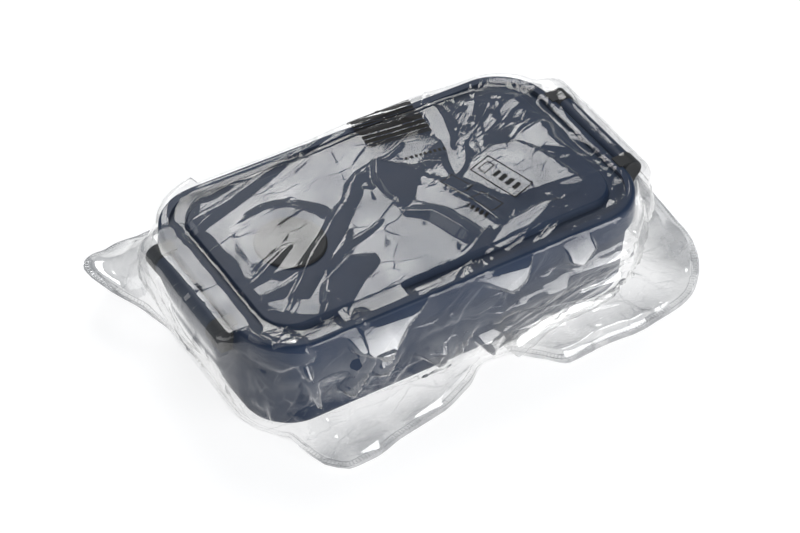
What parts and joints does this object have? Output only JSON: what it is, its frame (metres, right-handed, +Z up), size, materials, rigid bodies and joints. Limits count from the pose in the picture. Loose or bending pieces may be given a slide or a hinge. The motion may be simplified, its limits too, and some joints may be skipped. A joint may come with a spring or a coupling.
{
  "type": "bagged lunch box",
  "caption": "Rectangular lunch box with a raised lid panel, a round vent plug and a latch on each short side, lying in a clear crumpled film bag.",
  "frame": {"origin": "on the surface that the bag lies on, under the middle of the container", "axes": "+X along the box's long side, +Y towards its back long side, +Z up"},
  "size_m": [0.279, 0.1858, 0.0589],
  "materials": {
    "navy_plastic": "satin moulded",
    "navy_lid": "satin moulded",
    "seal_silicone": "matte",
    "black_silicone": "matte",
    "pin_steel": "drawn",
    "clear_film": "glossy"
  },
  "bodies": {
    "root": {"container": "navy_plastic", "lid": "navy_lid", "lid_seal": "seal_silicone", "vent_plug": "black_silicone", "latch_flap_left": "navy_plastic", "latch_flap_right": "navy_plastic", "latch_pin_left": "pin_steel", "latch_pin_right": "pin_steel", "latch_knuckle_left_front": "black_silicone", "latch_knuckle_left_back": "black_silicone", "latch_knuckle_right_front": "black_silicone", "latch_knuckle_right_back": "black_silicone", "film_bag": "clear_film"}
  },
  "joints": []
}
